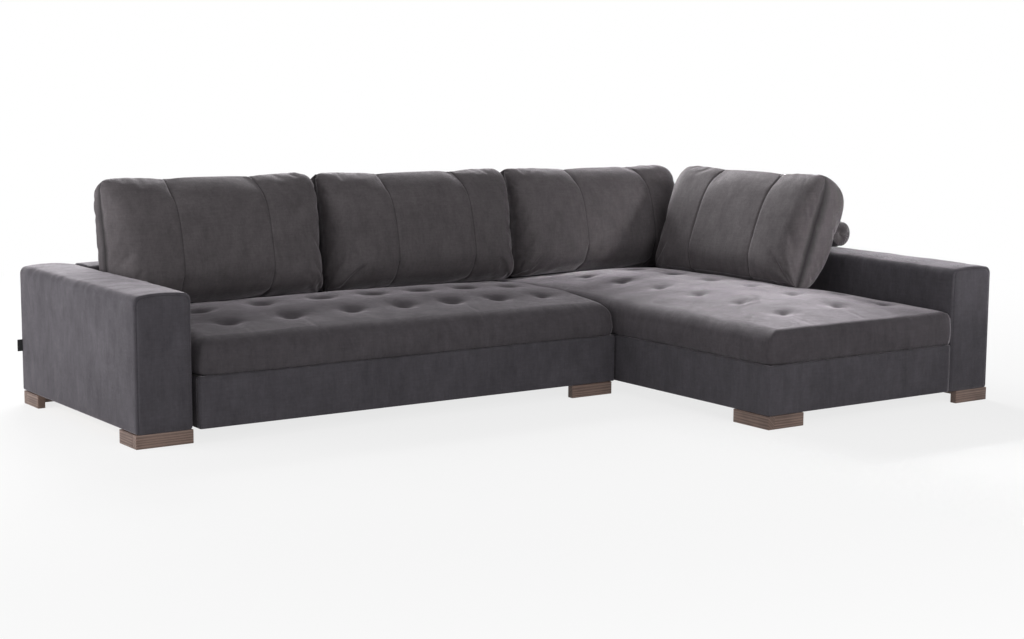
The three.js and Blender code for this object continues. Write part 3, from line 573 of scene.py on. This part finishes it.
# The cushions' velvet is lighter than the body's: partly a warmer shade of the cloth, partly painted
# light for the light that the leaning cushions catch.
cushion_velvet = velvet("cushion_velvet", colour=(0.102, 0.091, 0.096), sheen=0.5, nap_lean=0.8)
cushion_width, cushion_swell, filling_share = 1.016, 0.022, 0.8
across_lines, upright_lines = 84, 76
panel_ease = (0.004, 0.006)
draw_in, foot_rounding = 0.008, 0.010
fuller_below, crown_height = 0.15, 0.7
end_pull, end_pull_share = 0.011, 0.22
top_dip, top_dip_reach = 0.006, 0.06
channel_pull, channel_reach, channel_clear_share = (0.001, 0.004), 0.045, 0.040
channel_line_shares = (-0.030, -0.014, -0.006, 0, 0.006, 0.014, 0.030)
# The channels' grooves: their depth and width, and how much painted shade lies in them.
groove_depth, groove_width, channel_shade = 0.0036, 0.005, 0.6
end_gather, gather_reach, top_gather_reach, top_gather_share = (0.0022, 0.05), 0.035, 0.03, 0.6


def panel_lines(count, power, close_to=()):
    """Lines from -1 to 1 that crowd towards the ends: sines raised to 2 / power. Each channel has
    seven lines of its own in place of those near it."""
    swing = np.linspace(-1, 1, count + 1) * math.pi / 2
    lines = np.sign(swing) * np.abs(np.sin(swing)) ** (2 / power)
    for channel in close_to:
        lines = lines[np.abs(lines - channel) > channel_clear_share]
    extra = [channel + share for channel in close_to for share in channel_line_shares]
    return np.sort(np.concatenate([lines, extra]))


def cushion_panels(height, crowns, channels, slump, roundings, fuller_above):
    """Two panels over the same outline. The outline's sides draw in by 8 mm between their corners,
    and its corners are rounded off: as given above and by 10 mm below. A panel stands off the seam by
    its crown, times the superellipse of power 5 across, times the root of one minus a power of the
    height: 8 below and 2.4 above on the front, 2 below and 5 above on the rear. The front is 15%
    fuller at the foot, and the rear is fuller above where that is given. The seam at the ends is
    pulled in by 11 mm. The channels dip the top a little and pull the front panel in by a broad,
    shallow bell. Gives a (2, rows, columns, 3) grid."""
    s = panel_lines(across_lines, 5, channels)[None, :]
    t = panel_lines(upright_lines, 2)[:, None]
    half_x, half_z = (cushion_width - panel_ease[0]) / 2, (height - panel_ease[1]) / 2
    near = np.min([np.abs(s - channel) * half_x for channel in channels], axis=0)
    rounding = np.where(t > 0, np.where(s < 0, *roundings), foot_rounding)
    across = np.clip(1 - np.abs(s) ** 5, 0, 1) ** 0.2
    x = s * (half_x - draw_in * (1 - t ** 2) - rounding * t ** 10)
    x -= np.sign(s) * end_pull * np.exp(-(across / end_pull_share) ** 2)
    z = half_z + t * (half_z - draw_in * (1 - s ** 2) - rounding * s ** 20)
    dip = top_dip * np.exp(-(near / top_dip_reach) ** 2)
    z -= np.clip(t, 0, 1) ** 3 * (slump * (s + 1) / 2 + dip)
    height_at = np.clip(1 - np.abs(t) ** np.where(t < 0, 8.0, 2.4), 0, 1) ** 0.5
    rear_at = np.clip(1 - np.abs(t) ** np.where(t < 0, 2.0, 5.0), 0, 1) ** 0.5
    front = -crowns[0] * (1 - fuller_below * t) * across * height_at
    rear = crowns[1] * (1 + fuller_above * (t - crown_height)) * across * rear_at
    bell = np.exp(-(near / channel_reach) ** 2)
    front += (channel_pull[0] + channel_pull[1] * t ** 2) * bell * height_at
    return np.stack([np.stack([x, depth + 0 * x, z], axis=-1) for depth in (front, rear)])


def tenth(place):
    """A place of the frame, to a tenth of a millimetre, so that the cloth always starts alike."""
    return round(place, 4)


rest_gap, edge_gap = 0.001, 0.0005
arm_face, back_face, block_top = tenth(chaise_high.x), tenth(chaise_high.y), 0.590


def press_on_seat(points):
    """Raises what would sink into a seat to a millimetre over the seat's top, tufts and all."""
    x, y = points[..., 0], points[..., 1]
    top = np.where(x < (bench_high.x + chaise_low.x) / 2,
                   bench_top(x - bench_middle.x, y - bench_middle.y),
                   chaise_top(x - chaise_middle.x, y - chaise_middle.y))
    points[..., 2] = np.maximum(points[..., 2], seat_bottom + top + rest_gap)
    return points


def press_on_edge(points, turn):
    """Presses a cushion's rear in where it leans on the rounded top edge of a back or an arm."""
    along = 0 if turn else 1
    radius = cover_edge
    behind = points[..., along] - ((arm_face if turn else back_face) + radius)
    above = points[..., 2] - (block_top - radius)
    limit = np.where(above < 0, -radius, -np.sqrt(np.clip(radius ** 2 - above ** 2, 0, None)))
    limit = np.where(above > radius, np.inf, limit)
    points[..., along] -= np.maximum(behind - limit + edge_gap, 0)
    return points


def lean_and_place(points, name, lean, turn, stand_over):
    """Leans a cushion back, presses its foot flat and brings it to where its CAD solid stands."""
    cos, sin = math.cos(math.radians(lean)), math.sin(math.radians(lean))
    x, y, z = np.moveaxis(points, -1, 0)
    y, z = y * cos + z * sin, z * cos - y * sin
    low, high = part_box(name)
    middle = (low + high) / 2
    across = tenth(middle.y if turn else middle.x)
    z = z - z.max() + high.z + stand_over
    y = y - y.max() + (high.x if turn else high.y)
    placed = np.stack([y, across - x, z] if turn else [across + x, y, z], axis=-1)
    return press_on_edge(press_on_seat(placed), turn)


cushions = []


def sew_cushion(name, height, channels, seed, crowns=(0.160, 0.170), lean=8, turn=False,
                stand_over=0.0, slump=0.0, roundings=(0.012, 0.020), fuller_above=0.0):
    """One cushion, not filled yet. The channels are shares of the width, and the crowns are of the
    front and the rear once it is filled. The top stands over its box by a little, its right end is
    lower by the slump, and the roundings are of its left and right corner."""
    channels = [2 * share - 1 for share in channels]
    crowns = tuple(crown - filling_share * cushion_swell for crown in crowns)
    shape = cushion_panels(height, crowns, channels, slump, roundings, fuller_above)
    to_end = np.min([np.linalg.norm(shape - shape[:, :, [end]], axis=-1) for end in (0, -1)], axis=0)
    to_top = np.linalg.norm(shape - shape[:, [-1]], axis=-1)
    shape = lean_and_place(shape, name, lean, turn, stand_over)
    gathers = slow_waves(shape * ((0.3, 1, 1) if turn else (1, 0.3, 1)), end_gather, seed)
    calmer_top = top_gather_share * np.exp(-to_top / top_gather_reach)
    relief = gathers * (np.exp(-to_end / gather_reach) + calmer_top)
    s = panel_lines(across_lines, 5, channels)
    near = np.min([np.abs(s - channel) * cushion_width / 2 for channel in channels], axis=0)
    relief[0] -= groove_depth * np.exp(-(near / groove_width) ** 2)
    # Painted shade: the edge seams, fully, and the channel lines, by less, are darkened in colour and
    # sheen; the edge seams are also the points that the simulation holds.
    seam = np.ones(shape.shape[:3])
    seam[:, 1:-1, 1:-1] = 0
    seam[0][3:-3, near < 1e-6] = channel_shade
    front_faces = grid_quads(*seam[0].shape, wraps=False)
    faces = np.concatenate([front_faces, front_faces[:, ::-1] + seam[0].size])
    cushion = make_piece(name + "_cover", shape.reshape(-1, 3), faces, cushion_velvet, [name],
                         body=name, marks={"seam": seam, "relief": relief})
    cushions.append((cushion, turn))


sew_cushion("back_cushion_1", 0.563, (0.29, 0.71), 101, slump=0.006, roundings=(0.020, 0.024))
sew_cushion("back_cushion_2", 0.552, (0.32, 0.73), 107, slump=0.009)
sew_cushion("back_cushion_3", 0.530, (0.36, 0.77), 113, stand_over=0.006, slump=0.012,
            roundings=(0.012, 0.028))
sew_cushion("side_cushion", 0.555, (0.29, 0.71), 127, crowns=(0.085, 0.252), lean=18, turn=True,
            slump=-0.008, roundings=(0.032, 0.016), fuller_above=0.12)


def read(items, kind, width=1):
    """A number of each item of a mesh, or the three of a place or a direction, as rows."""
    values = np.zeros((len(items), width), np.float32)
    items.foreach_get(kind, values.ravel())
    return values.astype(float)


cloth_settings = dict(
    quality=6, mass=0.35, tension_stiffness=18, compression_stiffness=14, shear_stiffness=8,
    bending_stiffness=1.2, tension_damping=12, air_damping=3, use_pressure=True,
    uniform_pressure_force=4.0, shrink_min=-0.015, vertex_group_mass="held")


def inflate(pieces, frames=20):
    """Blows up sewn covers: pressure from inside and no gravity, with the seams held where they are
    and the cloth cut a little large, so that it puckers beside each seam."""
    start = {}
    for piece in pieces:
        mesh = piece.data
        start[piece.name] = read(mesh.vertices, "co", 3)
        held = piece.vertex_groups.new(name="held")
        sewn = read(mesh.attributes["seam"].data, "value") > 0.9
        held.add(np.flatnonzero(sewn).tolist(), 1.0, "REPLACE")
        cloth = piece.modifiers.new("cloth", "CLOTH")
        for setting, value in cloth_settings.items():
            setattr(cloth.settings, setting, value)
        cloth.settings.effector_weights.gravity = 0.0
        cloth.collision_settings.use_collision = False
        cloth.point_cache.frame_end = frames
    for number in range(1, frames + 1):
        bpy.context.scene.frame_set(number)
    shapes = bpy.context.evaluated_depsgraph_get()
    for piece in pieces:
        after = read(piece.evaluated_get(shapes).data.vertices, "co", 3)
        piece.modifiers.clear()
        moved = after - start[piece.name]
        far = np.maximum(np.linalg.norm(moved, axis=1), 1e-9)[:, None]
        capped = start[piece.name] + moved * (cushion_swell * np.tanh(far / cushion_swell) / far)
        piece.data.vertices.foreach_set("co", capped.ravel())
        piece.data.update()
        piece.vertex_groups.clear()
    bpy.context.scene.frame_set(1)


inflate([cushion for cushion, turn in cushions])

for cushion, turn in cushions:
    mesh = cushion.data
    shell = bmesh.new()
    shell.from_mesh(mesh)
    bmesh.ops.smooth_vert(shell, verts=shell.verts, factor=0.5, use_axis_x=True, use_axis_y=True,
                          use_axis_z=True)
    shell.to_mesh(mesh)
    shell.free()
    relief = mesh.attributes["relief"]
    points = read(mesh.vertices, "co", 3) + read(mesh.vertices, "normal", 3) * read(relief.data, "value")
    mesh.attributes.remove(relief)
    mesh.vertices.foreach_set("co", press_on_edge(press_on_seat(points), turn).ravel())
    mesh.update()
    finer = cushion.modifiers.new("finer", "SUBSURF")
    finer.levels = finer.render_levels = 1


# Bolster
# A round filled roll that lies on the right arm, sewn from the cushions' velvet. At each end the
# cover is gathered to its middle.

end_share, end_dimple, dimple_share, end_swell = 0.80, 0.012, 0.18, 0.004
pleat_count, pleat_height, roll_wave, roll_flat = 22, 0.0035, (0.0025, 0.16), 0.003


def gathered_roll(length, radius, seed):
    """Rings along Y. Near the ends the radius falls off as the root of one less the power 14 of the
    place along the roll, down to the end's share. There the end panel draws in to its middle in
    pleats: a cosine round it, highest halfway to the middle. The underside is a little flat."""
    round_it = np.linspace(0, 2 * math.pi, 132, endpoint=False)[None, :]
    body = np.sin(np.linspace(-1, 1, 71) * math.pi / 2)[:, None] * (length / 2)
    reach = radius * (1 - np.abs(2 * body / length) ** 14) ** 0.5
    reach = np.maximum(reach, end_share * radius)
    rings = np.linspace(end_share, 0.0, 14)[1:, None]
    hump = np.sin(math.pi * rings / end_share)
    end_y = length / 2 - end_dimple * np.exp(-(rings / dimple_share) ** 2) + end_swell * hump
    pleats = pleat_height * np.cos(pleat_count * round_it) * hump
    along = np.concatenate([-(end_y + pleats)[::-1], body + 0 * round_it, end_y + pleats])
    out = np.concatenate([(rings * radius)[::-1], reach, rings * radius]) + 0 * round_it
    points = np.stack([out * np.cos(round_it), along, out * np.sin(round_it)], axis=-1)
    uneven = slow_waves(points, roll_wave, seed) * np.clip(out / radius, 0, 1)
    points[..., [0, 2]] *= (1 + uneven / radius)[..., None]
    points[..., 2] = np.maximum(points[..., 2], roll_flat - radius)
    return points.reshape(-1, 3), grid_quads(*points.shape[:2], wraps=True)


low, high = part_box("bolster")
points, faces = gathered_roll(high.y - low.y, (high.x - low.x) / 2, seed=131)
roll_cover = make_piece("bolster_cover", points + tuple((low + high) / 2), faces, cushion_velvet,
                        ["bolster"], body="bolster")


# Feet
# Each is two planks of walnut joined in an L, with eased edges, stained and lacquered. One stands
# under each end of an arm, and two stand under each seat.

def walnut():
    """Lacquered walnut. The grain runs along each plank's own U: stretched noise bends rings of a
    wave, pores are short dark dashes, and slow noise varies the stain."""
    wood = Finish(bpy.data.materials.new("walnut"))
    plank = wood.add("UVMap", {}, uv_map="grain")
    stretched = wood.drawn(plank, (4.0, 70.0, 1.0))
    bend = wood.noise(stretched, 1.0, 5.0, Distortion=0.9)
    rings = wood.wave(stretched, 0.42, "Y", **{"Distortion": 5.0, "Detail": 3.0, "Detail Scale": 1.4})
    pores = wood.noise(wood.drawn(plank, (90.0, 1500.0, 1.0)), 1.0, 2.0)
    pore_mask = wood.fitted(pores, 0.60, 0.72, 0.0, 1.0)
    tone = wood.total(wood.product(bend, rings), wood.noise(wood.place(), 7.0, 3.0))
    stain = wood.add("ValToRGB", {"Fac": wood.fitted(tone, 0.45, 1.0, 0.0, 1.0)})
    stops = stain.node.color_ramp.elements
    stops[0].color = (0.098, 0.060, 0.047, 1)
    stops[1].color = (0.235, 0.155, 0.124, 1)
    stops.new(0.5).color = (0.160, 0.102, 0.080, 1)
    relief = wood.bump(pore_mask, 0.35, 0.0004)
    relief.node.invert = True
    return wood.done({"Base Color": wood.mixed(pore_mask, stain, (0.060, 0.036, 0.027, 1)),
                      "Roughness": wood.fitted(tone, 0.4, 1.1, 0.52, 0.36), "Normal": relief})


walnut_wood = walnut()
plank_thickness, plank_ease, plank_shy = 0.032, 0.0016, 0.0004


def plank_surface(size, ease):
    """A box with eased edges, one grid for each of its six sides. Past the inner box a point keeps
    only the ease as its distance from it."""
    half = np.array(size) / 2
    points, faces = [], []
    for axis in range(3):
        across, along = (axis + 1) % 3, (axis + 2) % 3
        for side in (-1, 1):
            a, b = np.meshgrid(*(mirrored_lines(half[k] - ease * np.array([1, 0.3, 0]), 7)
                                 for k in (across, along)))
            grid = np.zeros(a.shape + (3,))
            grid[..., axis], grid[..., across], grid[..., along] = side * half[axis], a, b
            inner = np.clip(grid, ease - half, half - ease)
            off = grid - inner
            grid = inner + ease * off / np.linalg.norm(off, axis=-1, keepdims=True)
            faces.append(grid_quads(*a.shape, wraps=False) + sum(len(p) for p in points))
            points.append(grid.reshape(-1, 3))
    return np.concatenate(points), np.concatenate(faces)


def plank_foot(node, x_side, y_side, side_first):
    """Two planks along X and Y that meet in an L at the corner of the node's box on the given sides.
    The first plank has its full length, and the other one ends at it."""
    low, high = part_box(node)
    inwards_x, inwards_y = -x_side * plank_thickness / 2, -y_side * plank_thickness / 2
    along_x = [(low.x + high.x) / 2, (low.y if y_side < 0 else high.y) + inwards_y,
               high.x - low.x, plank_thickness]
    along_y = [(low.x if x_side < 0 else high.x) + inwards_x, (low.y + high.y) / 2,
               plank_thickness, high.y - low.y]
    if side_first:
        along_x[0] += inwards_x
        along_x[2] -= plank_thickness
    else:
        along_y[1] += inwards_y
        along_y[3] -= plank_thickness
    points, faces, grain = [], [], []
    for number, (x, y, wide, deep) in enumerate((along_x, along_y)):
        shape, quads = plank_surface((wide, deep, high.z - low.z - plank_shy), plank_ease)
        faces.append(quads + sum(len(p) for p in points))
        run, across = shape[:, number], shape[:, 1 - number]
        grain.append(np.stack([run + x + number, shape[:, 2] + across + y], axis=-1))
        points.append(shape + (x, y, (low.z + high.z) / 2))
    points, faces, grain = (np.concatenate(part) for part in (points, faces, grain))
    make_piece(node + "_planks", points, faces, walnut_wood, [node], grain=grain)


for holder, x_side in (("left_arm", -1), ("bench", 1), ("chaise", -1), ("right_arm", 1)):
    for end, y_side in (("front", -1), ("rear", 1)):
        plank_foot(holder + "_" + end + "_foot", x_side, y_side, (holder, end) == ("chaise", "front"))


# Sewn tab
# A blank loop of black woven ribbon, sewn to the outside of the left arm near its rear edge. It
# stands out from the velvet a little.

def ribbon(name, colour):
    """Woven ribbon: crossed fine waves for its threads, and noise for wear."""
    cloth = Finish(bpy.data.materials.new(name))
    place = cloth.place()
    woven = cloth.product(cloth.wave(place, 260.0, "Z"), cloth.wave(place, 260.0, "DIAGONAL"))
    worn = cloth.total(woven, cloth.noise(place, 90.0, 4.0))
    return cloth.done({"Base Color": cloth.shaded(colour, cloth.fitted(worn, 0.3, 1.3, 0.7, 1.5)),
                       "Roughness": 0.8, "Normal": cloth.bump(woven, 0.5, 0.0004)})


tab_inset, half_reach, tab_fullness, tab_bend, tab_pace = 0.0015, 0.012, 0.0013, 0.0010, 70
tab_root = tenth(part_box("left_arm_cover")[0].x) + tab_inset


def ribbon_loop(low, high):
    """A loop of ribbon that stands out from its root: a flat ellipse, bent by a sine of the height."""
    rise = np.linspace(low.z, high.z, 12)[:, None]
    turn = np.linspace(0, 2 * math.pi, 28, endpoint=False)[None, :]
    out = half_reach - half_reach * np.cos(turn)
    bend = tab_bend * np.sin(tab_pace * (rise - low.z)) * (out / (2 * half_reach))
    y = high.y + (tab_fullness * np.sin(turn) + bend)
    points = np.stack([tab_root - out + 0 * rise, y, rise + 0 * out], axis=-1)
    return end_closed(points)


loop = ribbon_loop(*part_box("blank_tab"))
make_piece("tab_ribbon", loop.reshape(-1, 3), grid_quads(*loop.shape[:2], wraps=True),
           ribbon("tab_ribbon", (0.012, 0.012, 0.013)), ["blank_tab"])


# Inner frame, webbing, dust covers and fasteners
# Spruce rails and posts, plywood boards, dark elastic webbing, black lining stapled below, and
# zinc-plated bolts and plates. They keep their CAD shapes and get the materials of the real ones.

def plain_wood(name, pale, deep, ring_scale, along):
    """Unfinished timber or plywood: bands bent by noise along the given direction, and fine fibre."""
    wood = Finish(bpy.data.materials.new(name))
    drawn = wood.drawn(wood.place(), along)
    bands = wood.wave(drawn, ring_scale, "DIAGONAL", Distortion=7.0, Detail=3.0)
    fibre = wood.noise(drawn, 60.0, 5.0)
    return wood.done({"Base Color": wood.mixed(wood.product(bands, fibre), (*deep, 1), (*pale, 1)),
                      "Roughness": 0.72, "Normal": wood.bump(fibre, 0.4, 0.0006)})


def plated_steel():
    """Zinc-plated steel: fine brushed noise in its roughness and clouds in its colour."""
    metal = Finish(bpy.data.materials.new("plated_steel"))
    place = metal.place()
    brush = metal.noise(metal.drawn(place, (40.0, 900.0, 900.0)), 1.0, 3.0)
    cloud = metal.noise(place, 45.0, 4.0)
    return metal.done({"Base Color": metal.mixed(cloud, (0.42, 0.42, 0.40, 1), (0.62, 0.62, 0.60, 1)),
                       "Roughness": metal.fitted(brush, 0.0, 1.0, 0.25, 0.5), "Metallic": 1.0})


strapping = ribbon("strapping", (0.045, 0.041, 0.038))
lining = ribbon("dust_cloth", (0.018, 0.018, 0.020))
steel = plated_steel()
plywood = plain_wood("plywood", (0.62, 0.46, 0.27), (0.46, 0.31, 0.16), 6.0, (1.0, 1.0, 22.0))
spruce = plain_wood("spruce", (0.60, 0.42, 0.22), (0.42, 0.26, 0.12), 14.0, (1.0, 1.0, 3.0))
finish_by_word = {"webbing": strapping, "dust_cover": lining, "bolt": steel, "plate": steel,
                  "board": plywood, "spacer": plywood, "": spruce}
for node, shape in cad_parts.items():
    if not shape.hide_render:
        finish = next(finish_by_word[word] for word in finish_by_word if word in node)
        for slot in shape.material_slots:
            slot.material = finish


# Floor, light and camera
# A white studio with a pale floor that keeps a soft shadow. Broad lights stand behind, on the left
# and in front, and two narrow ones reach the front of the chaise and the cushion's and bolster's ends.

def seen_white(finish):
    """One for what is seen straight, in a reflection or through glass, and nought for light."""
    rays = finish.add("LightPath", {}).node.outputs
    seen = rays["Is Camera Ray"]
    for ray in ("Is Glossy Ray", "Is Transmission Ray"):
        seen = finish.add("Math", {0: seen, 1: rays[ray]}, operation="MAXIMUM")
    return seen


def studio_floor():
    """White floor. To the camera and to reflections it is mostly even white with the shadow on it,
    and wholly so away from the sofa."""
    paint = Finish(bpy.data.materials.new("studio_floor"))
    place = paint.place()
    dust = paint.noise(place, 2.0, 2.0)
    paint.done({"Base Color": paint.fitted(dust, 0.0, 1.0, 0.86, 0.88), "Roughness": 1.0,
                "Specular IOR Level": 0.0})
    away = paint.add("VectorMath", {0: place}, "Value", operation="LENGTH")
    white_share = paint.fitted(away, 2.2, 5.5, 0.78, 1.0)
    white_share.node.interpolation_type = "SMOOTHSTEP"
    white = paint.add("Emission", {"Color": (1, 1, 1, 1), "Strength": 1.0})
    share = paint.product(seen_white(paint), white_share)
    mixed = paint.add("MixShader", {0: share, 1: paint.shader.outputs[0], 2: white})
    paint.put(paint.tree.nodes["Material Output"], {"Surface": mixed})
    return paint.holder


floor_mesh = bpy.data.meshes.new("floor")
floor_reach, floor_level = 40, -0.0005
floor_corners = [(x * floor_reach, y * floor_reach, floor_level)
                 for x, y in ((-1, -1), (1, -1), (1, 1), (-1, 1))]
floor_mesh.from_pydata(floor_corners, [], [(0, 1, 2, 3)])
floor_mesh.materials.append(studio_floor())
floor = bpy.data.objects.new("floor", floor_mesh)
scene = bpy.context.scene
scene.collection.objects.link(floor)
floor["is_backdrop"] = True

scene.world = bpy.data.worlds.new("studio")
sky = Finish(scene.world, "Background")
sky.done({"Color": (1, 1, 1, 1), "Strength": sky.fitted(seen_white(sky), 0.0, 1.0, 0.22, 1.0)})


def area_light(name, place, target, size, power, spread=180):
    """A soft rectangular light at a place, turned towards a target, that the camera doesn't see."""
    data = bpy.data.lights.new(name, "AREA")
    data.spread = math.radians(spread)
    data.shape = "RECTANGLE"
    data.size, data.size_y = size
    data.energy = power
    lamp = bpy.data.objects.new(name, data)
    lamp.location = place
    lamp.rotation_euler = (Vector(target) - Vector(place)).to_track_quat("-Z", "Y").to_euler()
    lamp.visible_camera = False
    scene.collection.objects.link(lamp)


area_light("back_light", (1.7, 5.0, 3.1), (0.5, -0.4, 0.4), (4.4, 2.2), 510)
area_light("chaise_light", (1.6, 5.6, 4.1), (0.95, -1.0, 0.44), (0.6, 0.6), 2.0, spread=10)
area_light("end_light", (2.9, -4.4, 2.1), (1.56, -0.3, 0.74), (0.9, 0.9), 1.7, spread=12)
area_light("left_light", (-3.8, 0.6, 1.1), (-1.7, 0.3, 0.3), (2.0, 1.4), 48)
area_light("front_light", (-0.2, -6.4, 2.8), (0.3, 0.2, 0.6), (5.0, 3.0), 145)

camera_place = (-4.728, -6.817, 1.542)
yaw, pitch, tilt = 0.6069, 0.1421, 0.006
onward = Vector((math.sin(yaw) * math.cos(pitch), math.cos(yaw) * math.cos(pitch), -math.sin(pitch)))
level_right = Vector((math.cos(yaw), -math.sin(yaw), 0.0))
level_up = level_right.cross(onward)
right = math.cos(tilt) * level_right + math.sin(tilt) * level_up
up = math.cos(tilt) * level_up - math.sin(tilt) * level_right
camera_data = bpy.data.cameras.new("camera")
camera_data.sensor_width, camera_data.lens = 36.0, 68.57
camera = bpy.data.objects.new("camera", camera_data)
turned = Matrix((right, up, -onward)).transposed().to_4x4()
camera.matrix_world = Matrix.Translation(camera_place) @ turned
scene.collection.objects.link(camera)
scene.camera = camera
scene.view_settings.view_transform = "Standard"

low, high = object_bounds()
